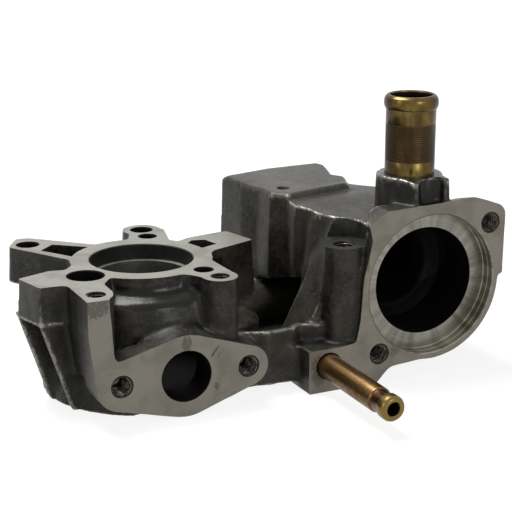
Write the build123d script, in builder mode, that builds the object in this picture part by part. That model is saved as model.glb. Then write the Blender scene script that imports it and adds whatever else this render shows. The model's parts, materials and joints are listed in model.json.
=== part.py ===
from build123d import *
import math
import os

# Engine coolant housing: an aluminium casting with two tubes pressed into it, in millimetres.
# The origin is the centre of the pump bore on the machined pump face. +X runs along the two
# machined front flanges, -Y points out of them, and +Z points up out of the pump face.

# Pump face: the bore, the ring round it and the four screws on a rectangle
pump_bore_r = 38.7 / 2
seal_depth = 6.0
seal_shoulder = 2.2
shoulder_thickness = 6.0
ring_wall = 7.25
ring_r = pump_bore_r + ring_wall
ring_depth = 7.0
screw_pitch_x = 47.6
screw_pitch_y = 71.4
screw_turn = 2.15
screw_centre = (-7.85, 1.2)
dowel_x = 22.1
dowel_y = 25.7
dowel_r = 3.4
clear_hole_r = 4.2
tapped_hole_r = 3.4
tapped_depth = 22.0
blind_depth = 11.0
coolant_hole_r = 13.3 / 2
coolant_hole_at = (-26.2, -12.6)
screw_wall = 7.5

# Arms of the pump face. Each starts inside the ring, at two angles round the bore.
arm_depth = 14.0
lap = 1.0
right_arm_depth = 22.4
arm_draft = 3.0
arm_root_r = ring_r - 1.5
rear_left_roots = (163, 109)
rear_left_tip = ((-7.8, -0.6), (-1.6, 10.0), (3.4, 8.7))
left_root = 170
left_arm_points = ((-30.4, -2.9), (-36.3, -1.5), (-49.2, -6.1), (-45.7, -20.3), (-37.7, -20.6))
rear_right_roots = (81, 43)
rear_right_sides = ((-5.6, -2.4), (7.4, -1.4), (8.4, -3.2), (4.3, -19.0))
right_roots = (36, 340)
right_arm_points = ((26.5, 18.7), (41.6, 21.4), (44.6, 21.0), (48.4, 5.4), (28.6, -2.1))
front_right_roots = (328, 280)
front_right_sides = ((5.4, 20.5), (6.2, 0), (-6.1, 1.0), (-9.2, 5.8))
front_right_round = 6.5
strip_left = 5.7
strip_right = 1.9
strip_end_z = -13.0
bowl_join = (-12.0, -16.0)
strip_join = (-14.0, -12.0)
strip_corner = 1.6
foot_lap = 1.0
front_left_side = ((5.2, -3.4), (6.5, 0.8), (6.5, 10.2))
tip_round = 2.0
tip_side_round = 3.0
rear_left_pocket = ((2.0, -10.3), (8.6, -4.0))
rear_left_pocket_roots = (150.3, 119.5)
right_pocket = ((26.6, 14.6), (31.6, 13.4), (33.4, 5.8))
right_pocket_roots = (27, 5)
pocket_root_r = ring_r - 2.5
pocket_ring_r = ring_r - 0.4
pocket_floor = 2.0

# Pump bowl below the ring
bowl_top_r = 33.0
bowl_base_r = 38.5
bowl_wall = 5.0
bowl_floor = 5.0
bowl_neck_drop = 5.0
shoulder_drop = 0.5
shoulder_edge = 1.2
rib_thickness = 3.5
rib_front_y = -20.3
rib_rear_y = -6.5
rib_front_foot = -35.1
rib_rear_foot = -38.8
rib_lean = 11.2
rib_inside = 12.0

# Outlet port in the front of the bowl
port_r = 18.6 / 2
port_drop = 32.4
port_pad_r = 15.3
port_tube_r = 16.4
port_tube_length = 24.0
port_tube_start = 3.5
port_screw_pitch = 48.6
port_ear_r = 7.7
port_left_ear_r = 9.2
strip_foot = (3.4, -20.5)
flange_thickness = 10.0
flange_hole_r = 8.1 / 2
flange_hole_depth = 12.5
boss_floor = 1.5
base_below_pad = 0.1

# Chamber and its counterbored flange
chamber_x = 101.1
chamber_drop = 11.9
counterbore_r = 54.5 / 2
counterbore_depth = 6.3
chamber_bore_r = 41.6 / 2
chamber_bore_end = 28.8
chamber_neck = 3.0
rim_wall = 2.35
rim_r = counterbore_r + rim_wall
barrel_wall = 6.2
barrel_r = chamber_bore_r + barrel_wall
barrel_length = 46.0
barrel_edge = 4.0
chamber_end_r = 16.0
chamber_end_length = 27.0
ear_hole = (25.2, 21.5)
foot_hole = (-22.5, -24.4)
ear_points = ((-4.0, 31.3), (18.0, 32.4), (32.0, 27.4), (31.7, 0.6), (0, 0.6))
ear_round = 5.0
ear_draft = 14.0
ear_boss_r = 6.6
ear_boss_draft = 8.0
plate_top = ((-26.0, 19.9), (-27.9, 26.3), (-19.8, 30.8), (-3.9, 31.3), (0, 0))
plate_right = ((-4.3, -29.3), (-17.0, -30.2), (-18.8, -31.1))
plate_left = ((-32.4, -18.6), (-30.7, -10.1), (-29.7, 5.8))

# Deck, rear block and the boss under the spigot
deck_z = 15.0
deck_slope = 6.0
deck_level_y = 0.8
deck_corner = ((-39.3, 1.2), (-39.3, -4.5), (-37.0, -7.1))
deck_left = ((-35.2, -11.5), (-34.2, -15.0), (-32.0, -18.2), (-28.7, -22.4))
deck_front_left = -27.5
deck_front_right = 11.0
deck_front_inset = 1.0
deck_rear = ((11.0, 0), (3.0, 9.4), (-4.0, 17.5), (-39.3, 17.5))
side_depth = 45.0
block_step = 2.5
block_draft = 1.5
block_edge = 1.3
block_x = 58.2
block_left = ((17.2, 48.2), (-6.3, 42.2), (-4.6, 26.7), (-1.6, 16.1), (-1.0, 7.4), (4.0, 1.3))
block_right = ((34.8, 8.7), (39.6, 20.5), (36.8, 26.0), (42.3, 43.1), (41.1, 48.5))
block_wall = 5.0
dimple_at = (7.1, 12.5)
dimple_r = 2.5
dimple_depth = 1.2
ledge_z = -15.8
ledge_slope = 13.2
side_rear_y = 60.0
side_right = 20.0
left_wall_rear_y = -9.8
left_wall_inside = -12.0
left_wall_draft = 5.0
spigot_x = 99.8
spigot_y = -26.0
spigot_boss_r = 12.6
spigot_boss_draft = 2.0
spigot_boss_z = 28.5
spigot_boss_root = 3.0
spigot_boss_side = (-12.4, -2.0)
spigot_left_lug = ((-6.5, -15.5), (-5.3, -15.5), (-2.8, -12.6))
spigot_right_lug = ((5.4, -12.4), (6.4, -15.5), (8.3, -15.5), (9.2, -8.6))

# Hose spigot
spigot_r = 19.0 / 2
spigot_wall = 1.25
spigot_bore_r = spigot_r - spigot_wall
spigot_out = 30.0
spigot_in = 10.0
bead_out = 0.8
bead_length = 5.2
lip_turn = 0.3
lip_length = 0.6
lip_width = 0.7

# Bypass pipe and its foot
pipe_x = 57.2
pipe_drop = 37.7
pipe_r = 9.5 / 2
pipe_wall = 2.25
pipe_bore_r = pipe_r - pipe_wall
pipe_out = 47.4
pipe_in = 14.0
pipe_recess_gap = 0.55
pipe_recess_depth = 1.2
pipe_neck_cut = 0.55
pipe_neck_start = 10.0
pipe_neck_slope = 0.4
pipe_bead_length = 4.2
pipe_nose_length = 1.6
pipe_nose_cut = 1.4
pipe_mouth = 0.3
foot_left_x = 48.9
foot_right = -23.3
foot_top_z = -31.0
foot_depth = 16.0

# Pressed seats: the end of each tube is turned down a little, and its seat is just wider
press_turn = 0.1
press_gap = 0.01

# Upright sensor boss beside the chamber's flange
sensor_at = (68.3, -32.5)
sensor_top_z = 5.5
sensor_boss_r = 7.7
sensor_draft = 1.25
sensor_hole_r = 4.0
sensor_hole_depth = 24.0
sensor_recess_r = 10.2
sensor_recess_at = (68.1, -30.7)
sensor_recess_draft = 1.0

# Passage, floor and web that join the bowl to the chamber
passage_y = 19.0
passage_z = -31.0
passage_r = 7.0
passage_wall = 4.0
passage_start = 15.0
passage_bite = 6.0
link_lift = 2.6
floor_thickness = 8.0
floor_left = 10.0
floor_front_left = -24.0
floor_front = -30.0
floor_right = -24.0
shelf_front = ((20.0, -30.0), (29.0, -33.2), (48.9, -34.6))
shelf_round = 4.0
web_top_z = -24.0
web_thickness = 2.6
web_line = ((26.0, -28.0), (29.4, -30.3), (37.1, -33.1), (47.0, -32.1), (50.8, -29.8), (57.0, -32.6))
web_end = 9.0
buttress_curve = ((-31.5, 11.0), (-33.8, 4.5), (-36.8, -3.5), (-39.8, -11.5), (-44.2, -20.3), (-49.9, -31.2))
buttress_foot = -55.0
buttress_inside = -30.0
buttress_rear_y = -13.8
buttress_length = 17.5
rear_wall_thickness = 5.0
knob_r = 13.0
knob_top_z = -20.0
knob_edge = 5.0
knob_at = (30.0, -9.0)


def polar(radius, angle):
    """Point at a radius and an angle in degrees round the pump bore."""
    return (radius * math.cos(math.radians(angle)), radius * math.sin(math.radians(angle)))


def placed(points, x=0, y=0):
    """Outline points moved so that they stand from (x, y)."""
    return [(x + u, y + v) for u, v in points]


def slope_drop(y):
    """Height of the sloping underside at a place y, from its height at y = 0."""
    return -y * math.tan(math.radians(ledge_slope))


def deck_top(y):
    """Height of the deck at a place y in front of its level part."""
    return deck_z + (y - deck_level_y) * math.tan(math.radians(deck_slope))


# Places worked out from the sizes above
pump_pattern = Plane(Location((screw_centre[0], screw_centre[1], 0), (0, 0, screw_turn)))
rear_left = pump_pattern.from_local_coords((-screw_pitch_x / 2, screw_pitch_y / 2, 0))
rear_right = pump_pattern.from_local_coords((screw_pitch_x / 2, screw_pitch_y / 2, 0))
front_left = pump_pattern.from_local_coords((-screw_pitch_x / 2, -screw_pitch_y / 2, 0))
front_right = pump_pattern.from_local_coords((screw_pitch_x / 2, -screw_pitch_y / 2, 0))
rear_dowel = pump_pattern.from_local_coords((dowel_x, dowel_y, 0))
front_dowel = pump_pattern.from_local_coords((dowel_x, -dowel_y, 0))
front_y = front_left.Y - screw_wall
base_z = -port_drop - port_pad_r - base_below_pad
front = Plane(origin=(0, front_y, 0), x_dir=(1, 0, 0), z_dir=(0, -1, 0))
chamber_z = -chamber_drop
chamber_plan = Plane(origin=(chamber_x, front_y, chamber_z), x_dir=(1, 0, 0), z_dir=(0, 0, 1))
chamber_axis = Axis((chamber_x, front_y, chamber_z), (0, 1, 0))
chamber_end = barrel_length + chamber_end_length
flange_bolts = (
    (chamber_x + ear_hole[0], chamber_z + ear_hole[1]),
    (chamber_x + foot_hole[0], chamber_z + foot_hole[1]),
)
port_left = -port_screw_pitch / 2
port_right = port_screw_pitch / 2
strip_x = front_left.X - strip_left
block_z = deck_z + block_step
link_z = base_z + link_lift
floor_z = link_z + floor_thickness
rear_wall_y = passage_y + passage_r + passage_wall - rear_wall_thickness

# The pump side: bowl, ring, arms, ribs and outlet port, before any machining
with BuildPart() as pump_side:
    with BuildSketch(Plane.XZ) as bowl_profile:
        with BuildLine():
            Polyline(
                (0, 0),
                (ring_r, 0),
                (ring_r, -ring_depth),
                (bowl_top_r, -ring_depth - shoulder_drop),
                (bowl_base_r, base_z),
                (0, base_z),
                close=True,
            )
        make_face()
        shoulder = bowl_profile.vertices().sort_by_distance((bowl_top_r, -ring_depth - shoulder_drop))[0]
        chamfer(shoulder, length=shoulder_edge)
    revolve(axis=Axis.Z)

    # Rear left arm, wide at the ring and cornered at its tip
    with BuildSketch() as rear_left_arm:
        with BuildLine():
            Polyline(
                polar(arm_root_r, rear_left_roots[0]),
                *placed(rear_left_tip, rear_left.X, rear_left.Y),
                polar(arm_root_r, rear_left_roots[1]),
                (0, 0),
                close=True,
            )
        make_face()
        fillet(rear_left_arm.vertices().group_by(Axis.Y)[-1], radius=tip_round)
        fillet(rear_left_arm.vertices().group_by(Axis.X)[0], radius=tip_side_round)
    extrude(amount=-arm_depth, taper=-arm_draft)

    # Left arm, a blunt block over the two ribs
    with BuildSketch() as left_arm:
        with BuildLine():
            Polyline(
                polar(arm_root_r, left_root),
                *left_arm_points,
                (strip_x, rib_front_y - strip_corner),
                bowl_join,
                close=True,
            )
        make_face()
    extrude(amount=-arm_depth, taper=-arm_draft)

    # Front left arm, which runs down the whole front as a machined strip
    with BuildSketch() as front_left_arm:
        with BuildLine():
            Polyline(
                (strip_x, rib_front_y),
                (strip_x, front_y),
                (front_left.X + strip_right, front_y),
                *placed(front_left_side, front_left.X, front_left.Y),
                strip_join,
                close=True,
            )
        make_face()
    extrude(amount=-port_drop)

    # Its left side narrows towards the ear of the outlet flange
    with BuildSketch(front) as strip_side:
        with BuildLine():
            Polyline(
                (strip_x, strip_end_z),
                (port_left - port_left_ear_r, -port_drop),
                (strip_x - screw_wall, -port_drop),
                close=True,
            )
        make_face()
    extrude(amount=front_y - rib_front_y, mode=Mode.SUBTRACT)

    # Rear right arm with two holes
    with BuildSketch() as rear_right_arm:
        with BuildLine():
            Polyline(
                polar(arm_root_r, rear_right_roots[0]),
                *placed(rear_right_sides, rear_right.X, rear_right.Y),
                polar(arm_root_r, rear_right_roots[1]),
                (0, 0),
                close=True,
            )
        make_face()
        with Locations((rear_right.X, rear_right.Y)):
            Circle(screw_wall)
    extrude(amount=-arm_depth, taper=-arm_draft)

    # Right arm, square at its end
    with BuildSketch() as right_arm:
        with BuildLine():
            Polyline(
                polar(arm_root_r, right_roots[0]),
                *right_arm_points,
                polar(arm_root_r, right_roots[1]),
                (0, 0),
                close=True,
            )
        make_face()
    extrude(amount=-right_arm_depth, taper=-arm_draft)

    # Front right arm, a round column that runs down to the outlet flange
    with BuildSketch() as front_right_arm:
        with BuildLine():
            Polyline(
                polar(arm_root_r, front_right_roots[0]),
                *placed(front_right_sides, front_right.X, front_right.Y),
                polar(arm_root_r, front_right_roots[1]),
                (0, 0),
                close=True,
            )
        make_face()
        with Locations((front_right.X, front_right.Y)):
            Circle(front_right_round)
    extrude(amount=-port_drop + port_ear_r)

    # Two ribs that carry the left arm down to the bowl's base
    for rib_y, foot_x in ((rib_front_y, rib_front_foot), (rib_rear_y, rib_rear_foot)):
        with BuildSketch(Plane.XZ.offset(-rib_y)) as rib_profile:
            with BuildLine():
                Polyline(
                    (foot_x - rib_lean, -arm_depth + foot_lap),
                    (foot_x, base_z),
                    (foot_x + rib_inside, base_z),
                    (foot_x + rib_inside, -arm_depth + foot_lap),
                    close=True,
                )
            make_face()
        extrude(amount=-rib_thickness)

    # Outlet tube, seen as a hood over the flange
    with BuildSketch(front.offset(-port_tube_start)) as port_tube:
        with Locations((0, -port_drop)):
            Circle(port_tube_r)
        with Locations((0, base_z)):
            Rectangle(2 * port_tube_r, port_tube_r, align=(Align.CENTER, Align.MAX), mode=Mode.SUBTRACT)
    extrude(amount=port_tube_start - port_tube_length)

    # Outlet flange: a round pad, two ears and the strip up to the pump face
    with BuildSketch(front) as port_flange:
        with Locations((0, -port_drop)):
            Circle(port_pad_r)
        with Locations((port_right, -port_drop)):
            Circle(port_ear_r)
        with Locations((port_left, -port_drop)):
            Circle(port_left_ear_r)
        make_hull()
        with BuildLine():
            Polyline(
                (strip_x, 0),
                (strip_x, strip_end_z),
                (port_left - port_left_ear_r, -port_drop),
                (port_left, -port_drop),
                (front_left.X + strip_foot[0], strip_foot[1]),
                (front_left.X + strip_right, 0),
                close=True,
            )
        make_face()
    extrude(amount=-flange_thickness)

    # Bosses behind both ears, deep enough for the tapped holes
    with BuildSketch(front) as ear_bosses:
        with Locations((port_right, -port_drop)):
            Circle(port_ear_r)
        with Locations((port_left, -port_drop)):
            Circle(port_left_ear_r)
    extrude(amount=-flange_hole_depth - boss_floor)

# The chamber side: flange, barrel, deck, rear block, foot and bosses, before any machining
with BuildPart() as chamber_side:
    # Deck over the chamber and the higher block behind it, with drafted walls
    with BuildSketch(Plane.XY.offset(deck_z)) as deck:
        with BuildLine():
            Polyline(
                *placed(deck_corner + deck_left, chamber_x),
                (chamber_x + deck_front_left, front_y + deck_front_inset),
                (chamber_x + deck_front_right, front_y + deck_front_inset),
                *placed(deck_rear, chamber_x),
                close=True,
            )
        make_face()
    extrude(amount=-side_depth)
    with BuildSketch(Plane.XY.offset(block_z)) as block:
        with BuildLine():
            Polyline(*placed(block_left + block_right, block_x), close=True)
        make_face()
    extrude(amount=-side_depth - block_step, taper=-block_draft)
    chamfer(chamber_side.faces().sort_by(Axis.Z)[-1].outer_wire().edges(), length=block_edge)
    with BuildSketch(Plane.XY.offset(block_z)) as dimple:
        with Locations((block_x + dimple_at[0], dimple_at[1])):
            Circle(dimple_r)
    extrude(amount=-dimple_depth, mode=Mode.SUBTRACT)

    # Their underside, which slopes down to the rear and ends in a thin ledge
    with BuildSketch(Plane.YZ) as underside:
        with BuildLine():
            Polyline(
                (front_y, ledge_z + slope_drop(front_y)),
                (side_rear_y, ledge_z + slope_drop(side_rear_y)),
                (side_rear_y, base_z),
                (front_y, base_z),
                close=True,
            )
        make_face()
    extrude(amount=chamber_x + side_right, mode=Mode.SUBTRACT)

    # Coring under the block, so that its walls are even
    with BuildSketch(Plane.XY.offset(block_z - block_wall)) as block_core:
        add(block.sketch_local)
        offset(amount=-block_wall, mode=Mode.REPLACE)
    extrude(amount=-side_depth, mode=Mode.SUBTRACT)

    # Left wall under the front of the deck, which leans out towards its foot
    with BuildSketch(Plane.XY.offset(deck_z)) as left_wall:
        with BuildLine():
            Polyline(
                (chamber_x + deck_left[0][0], left_wall_rear_y),
                *placed(deck_left, chamber_x),
                (chamber_x + deck_left[-1][0], sensor_at[1]),
                (chamber_x + left_wall_inside, sensor_at[1]),
                (chamber_x + left_wall_inside, left_wall_rear_y),
                close=True,
            )
        make_face()
    extrude(amount=floor_z - deck_z, taper=-left_wall_draft)

    # The deck falls away to the front
    with BuildSketch(Plane.YZ) as deck_fall:
        with BuildLine():
            Polyline(
                (deck_level_y, deck_z),
                (front_y, deck_top(front_y)),
                (front_y, deck_z + block_step),
                (deck_level_y, deck_z + block_step),
                close=True,
            )
        make_face()
    extrude(amount=chamber_x + side_right, mode=Mode.SUBTRACT)

    # Flared buttress where the left wall meets the web
    with BuildSketch(Plane.XZ.offset(-buttress_rear_y)) as buttress:
        with BuildLine():
            Spline(*placed(buttress_curve, chamber_x), (chamber_x + buttress_foot, floor_z))
            Polyline(
                (chamber_x + buttress_foot, floor_z),
                (chamber_x + buttress_inside, floor_z),
                (chamber_x + buttress_inside, buttress_curve[0][1]),
                (chamber_x + buttress_curve[0][0], buttress_curve[0][1]),
            )
        make_face()
    extrude(amount=buttress_length)

    # Corner ear of the flange, whose edges fall away behind the machined face
    with BuildSketch(front) as corner_ear:
        with BuildLine():
            Polyline(*placed(ear_points, chamber_x, chamber_z), close=True)
        make_face()
        for corner in placed(ear_points[1:3], chamber_x, chamber_z):
            fillet(corner_ear.vertices().sort_by_distance(corner)[0], radius=ear_round)
    extrude(amount=-flange_thickness, taper=ear_draft)

    # Flange face: round rim, and the plate that runs down to the pipe foot
    with BuildSketch(front) as chamber_flange:
        with BuildLine():
            Polyline(
                *placed(plate_top + plate_right, chamber_x, chamber_z),
                (chamber_x + foot_right, base_z),
                (foot_left_x, base_z),
                (foot_left_x, foot_top_z - lap),
                *placed(plate_left, chamber_x, chamber_z),
                close=True,
            )
        make_face()
        with Locations((chamber_x, chamber_z)):
            Circle(rim_r)
    extrude(amount=-flange_thickness)

    # Barrel round the chamber, and the narrower end behind it
    with BuildSketch(chamber_plan) as barrel:
        with BuildLine():
            Polyline(
                (0, 0),
                (barrel_r, 0),
                (barrel_r, barrel_length),
                (chamber_end_r + barrel_wall, barrel_length),
                (chamber_end_r + barrel_wall, chamber_end),
                (0, chamber_end),
                close=True,
            )
        make_face()
        for corner in ((barrel_r, barrel_length), (chamber_end_r + barrel_wall, chamber_end)):
            chamfer(barrel.vertices().sort_by_distance(corner)[0], length=barrel_edge)
    revolve(axis=chamber_axis)

    # Bosses behind the two tapped holes of the flange
    with BuildSketch(front) as chamber_bosses:
        with Locations(*flange_bolts):
            Circle(ear_boss_r)
    extrude(amount=-flange_hole_depth - boss_floor, taper=ear_boss_draft)

    # Upright sensor boss in a round recess of the deck, open above for a spanner
    with BuildSketch(Plane.XY.offset(sensor_top_z)) as sensor_recess:
        with Locations(sensor_recess_at):
            Circle(sensor_recess_r)
    extrude(amount=deck_z + block_step - sensor_top_z, taper=-sensor_recess_draft, mode=Mode.SUBTRACT)
    with BuildSketch(Plane.XY.offset(sensor_top_z)) as sensor_boss:
        with Locations(sensor_at):
            Circle(sensor_boss_r)
    extrude(amount=foot_top_z - sensor_top_z, taper=-sensor_draft)

    # Boss under the hose spigot, round behind, with two lugs in front
    with BuildSketch(Plane.XY.offset(spigot_boss_z)) as spigot_boss:
        with Locations((spigot_x, spigot_y)):
            Circle(spigot_boss_r)
        with BuildLine():
            Polyline(
                (spigot_x, spigot_y),
                *placed((spigot_boss_side,) + spigot_left_lug + spigot_right_lug, spigot_x, spigot_y),
                close=True,
            )
        make_face()
    extrude(amount=deck_top(front_y) - spigot_boss_root - spigot_boss_z, taper=-spigot_boss_draft)

# The link between both sides: floor, front web, pipe foot and passage tube
with BuildPart() as link:
    with BuildSketch(Plane.XY.offset(link_z)) as floor_plan:
        with BuildLine():
            Polyline(
                (floor_left, floor_front_left),
                (foot_left_x, floor_front),
                (chamber_x + floor_right, floor_front),
                (chamber_x + floor_right, passage_y + passage_r),
                (floor_left, passage_y + passage_r),
                close=True,
            )
        make_face()
    extrude(amount=floor_thickness)

    # Shelf behind the outlet flange, and the foot that holds the pipe
    with BuildSketch(Plane.XY.offset(link_z)) as shelf_plan:
        with BuildLine():
            Polyline(
                *shelf_front,
                (foot_left_x, front_y),
                (chamber_x + foot_right, front_y),
                (chamber_x + foot_right, floor_front_left),
                (shelf_front[0][0], floor_front_left),
                close=True,
            )
        make_face()
        fillet(shelf_plan.vertices().sort_by_distance(shelf_front[-1])[0], radius=shelf_round)
    extrude(amount=foot_top_z - link_z)
    with BuildSketch(Plane.XY.offset(base_z)) as foot_plan:
        with Locations((foot_left_x, front_y)):
            Rectangle(chamber_x + foot_right - foot_left_x, foot_depth, align=(Align.MIN, Align.MIN))
    extrude(amount=foot_top_z - base_z)

    with BuildSketch(Plane.XY.offset(link_z)) as web_plan:
        with BuildLine():
            Polyline(*web_line, (web_line[-1][0] + web_end, web_line[-1][1]))
        trace(line_width=web_thickness)
    extrude(amount=web_top_z - link_z)

    # Wall behind the link, and a rounded knob at the foot of the bowl
    with BuildSketch(Plane.XY.offset(link_z)) as rear_wall:
        with Locations((passage_start, rear_wall_y)):
            Rectangle(block_x - lap - passage_start, rear_wall_thickness, align=(Align.MIN, Align.MIN))
    extrude(amount=ledge_z + slope_drop(rear_wall_y) - link_z)
    with BuildSketch(Plane.XY.offset(link_z)) as knob:
        with Locations(knob_at):
            Circle(knob_r)
    extrude(amount=knob_top_z - link_z)
    chamfer(link.faces().sort_by_distance((*knob_at, knob_top_z))[0].edges(), length=knob_edge)

    with BuildSketch(Plane.YZ.offset(passage_start)) as passage_tube:
        with Locations((passage_y, passage_z)):
            Circle(passage_r + passage_wall)
    extrude(amount=chamber_x - passage_start - passage_bite)

# The inside: pump seat and bowl, outlet port, chamber, passage and the bore under the spigot
with BuildPart() as waterways:
    with BuildSketch(Plane.XZ) as bowl_space:
        with BuildLine():
            Polyline(
                (0, 0),
                (pump_bore_r, 0),
                (pump_bore_r, -seal_depth),
                (pump_bore_r - seal_shoulder, -seal_depth),
                (pump_bore_r - seal_shoulder, -seal_depth - shoulder_thickness),
                (bowl_top_r - bowl_wall, -seal_depth - shoulder_thickness - bowl_neck_drop),
                (bowl_base_r - bowl_wall, base_z + bowl_floor),
                (0, base_z + bowl_floor),
                close=True,
            )
        make_face()
    revolve(axis=Axis.Z)
    with BuildSketch(front) as port:
        with Locations((0, -port_drop)):
            Circle(port_r)
    extrude(amount=-port_tube_length)
    with BuildSketch(front) as counterbore:
        with Locations((chamber_x, chamber_z)):
            Circle(counterbore_r)
    extrude(amount=-counterbore_depth)
    with BuildSketch(chamber_plan) as chamber_space:
        with BuildLine():
            Polyline(
                (0, 0),
                (chamber_bore_r, 0),
                (chamber_bore_r, chamber_bore_end),
                (chamber_end_r, chamber_bore_end + chamber_neck),
                (chamber_end_r, chamber_end - barrel_wall),
                (0, chamber_end - barrel_wall),
                close=True,
            )
        make_face()
    revolve(axis=chamber_axis)
    with BuildSketch(Plane.YZ.offset(passage_start)) as passage:
        with Locations((passage_y, passage_z)):
            Circle(passage_r)
    extrude(amount=chamber_x - passage_start)
    with BuildSketch(Plane.XY.offset(spigot_boss_z)) as spigot_waterway:
        with Locations((spigot_x, spigot_y)):
            Circle(spigot_bore_r)
    extrude(amount=chamber_z - spigot_boss_z)

# Holes that the machinist adds, and the pressed seats of the two tubes
with BuildPart() as drillings:
    with BuildSketch() as clear_holes:
        with Locations((rear_left.X, rear_left.Y), (rear_right.X, rear_right.Y)):
            Circle(clear_hole_r)
        with Locations((rear_dowel.X, rear_dowel.Y)):
            Circle(dowel_r)
    extrude(amount=-arm_depth - lap)
    with BuildSketch() as tapped_holes:
        with Locations((front_left.X, front_left.Y), (front_right.X, front_right.Y)):
            Circle(tapped_hole_r)
    extrude(amount=-tapped_depth)
    with BuildSketch() as blind_holes:
        with Locations((front_dowel.X, front_dowel.Y)):
            Circle(dowel_r)
        with Locations(coolant_hole_at):
            Circle(coolant_hole_r)
    extrude(amount=-blind_depth)
    with BuildSketch() as arm_pockets:
        with BuildLine():
            Polyline(
                polar(pocket_root_r, rear_left_pocket_roots[0]),
                *placed(rear_left_pocket, rear_left.X, rear_left.Y),
                polar(pocket_root_r, rear_left_pocket_roots[1]),
                close=True,
            )
        make_face()
        with BuildLine():
            Polyline(
                polar(pocket_root_r, right_pocket_roots[0]),
                *right_pocket,
                polar(pocket_root_r, right_pocket_roots[1]),
                close=True,
            )
        make_face()
        Circle(pocket_ring_r, mode=Mode.SUBTRACT)
    extrude(amount=-arm_depth + pocket_floor)
    with BuildSketch(front) as flange_holes:
        with Locations((port_left, -port_drop), (port_right, -port_drop), *flange_bolts):
            Circle(flange_hole_r)
    extrude(amount=-flange_hole_depth)
    with BuildSketch(Plane.XY.offset(sensor_top_z)) as sensor_hole:
        with Locations(sensor_at):
            Circle(sensor_hole_r)
    extrude(amount=-sensor_hole_depth)
    with BuildSketch(Plane.XY.offset(spigot_boss_z)) as spigot_seat:
        with Locations((spigot_x, spigot_y)):
            Circle(spigot_r - press_turn + press_gap)
    extrude(amount=-spigot_in)
    with BuildSketch(front) as pipe_seat:
        with Locations((pipe_x, -pipe_drop)):
            Circle(pipe_r - press_turn + press_gap)
    extrude(amount=-pipe_in)
    with BuildSketch(front) as pipe_recess:
        with Locations((pipe_x, -pipe_drop)):
            Circle(pipe_r + pipe_recess_gap)
    extrude(amount=-pipe_recess_depth)

# The casting: both sides and their link, then the inside and the holes
with BuildPart() as housing_casting:
    add(chamber_side.part)
    add(pump_side.part)
    add(link.part)
    add(waterways.part, mode=Mode.SUBTRACT)
    add(drillings.part, mode=Mode.SUBTRACT)
housing_casting.part.label = "housing_casting"

# Hose spigot: a straight tube with a rolled bead round its mouth
spigot_axis = Plane(origin=(spigot_x, spigot_y, spigot_boss_z), x_dir=(1, 0, 0), z_dir=(0, -1, 0))
with BuildPart() as hose_spigot:
    with BuildSketch(spigot_axis) as spigot_profile:
        with BuildLine():
            Polyline(
                (spigot_r, spigot_out - bead_length),
                (spigot_r, 0),
                (spigot_r - press_turn, 0),
                (spigot_r - press_turn, -spigot_in),
                (spigot_bore_r, -spigot_in),
                (spigot_bore_r, spigot_out - bead_length / 2),
                (spigot_bore_r - lip_turn, spigot_out - lip_length),
                (spigot_bore_r, spigot_out),
                (spigot_r - lip_width, spigot_out),
                (spigot_r, spigot_out - lip_length),
            )
            Spline(
                (spigot_r, spigot_out - lip_length),
                (spigot_r + bead_out, spigot_out - bead_length / 2),
                (spigot_r, spigot_out - bead_length),
            )
        make_face()
    revolve(axis=Axis((spigot_x, spigot_y, 0), (0, 0, 1)))
hose_spigot.part.label = "hose_spigot"

# Bypass pipe: a slim tube with a turned neck and bead at its free end
pipe_axis = Plane(origin=(pipe_x, front_y, -pipe_drop), x_dir=(0, -1, 0), z_dir=(0, 0, 1))
with BuildPart() as bypass_pipe:
    with BuildSketch(pipe_axis) as pipe_profile:
        with BuildLine():
            Polyline(
                (-pipe_in, pipe_bore_r),
                (-pipe_in, pipe_r - press_turn),
                (-pipe_recess_depth, pipe_r - press_turn),
                (-pipe_recess_depth, pipe_r),
                (pipe_out - pipe_neck_start, pipe_r),
                (pipe_out - pipe_neck_start + pipe_neck_slope, pipe_r - pipe_neck_cut),
                (pipe_out - pipe_bead_length - pipe_neck_slope, pipe_r - pipe_neck_cut),
                (pipe_out - pipe_bead_length, pipe_r),
                (pipe_out - pipe_nose_length, pipe_r),
                (pipe_out, pipe_r - pipe_nose_cut),
                (pipe_out, pipe_bore_r + pipe_mouth),
                (pipe_out - pipe_mouth, pipe_bore_r),
                close=True,
            )
        make_face()
    revolve(axis=Axis((pipe_x, front_y, -pipe_drop), (0, -1, 0)))
bypass_pipe.part.label = "bypass_pipe"

os.makedirs("parts", exist_ok=True)
for piece in (housing_casting.part, hose_spigot.part, bypass_pipe.part):
    export_step(piece, f"parts/{piece.label}.step")
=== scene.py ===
# %% [markdown]
# Engine coolant housing, dressed for its portrait.
# The real object is one aluminium casting with two tubes pressed into it. A foundry pours the casting,
# a machinist then faces and bores it, and the tubes go in last. This lesson follows the same order,
# because each step leaves its own kind of surface: rough and rounded where the sand was, flat and
# sharp-edged where the cutter went. The CAD model is loaded first and fixes every place and size.

import json
import math

import bmesh
import bpy
import numpy as np
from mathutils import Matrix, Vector, kdtree, noise


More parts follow.
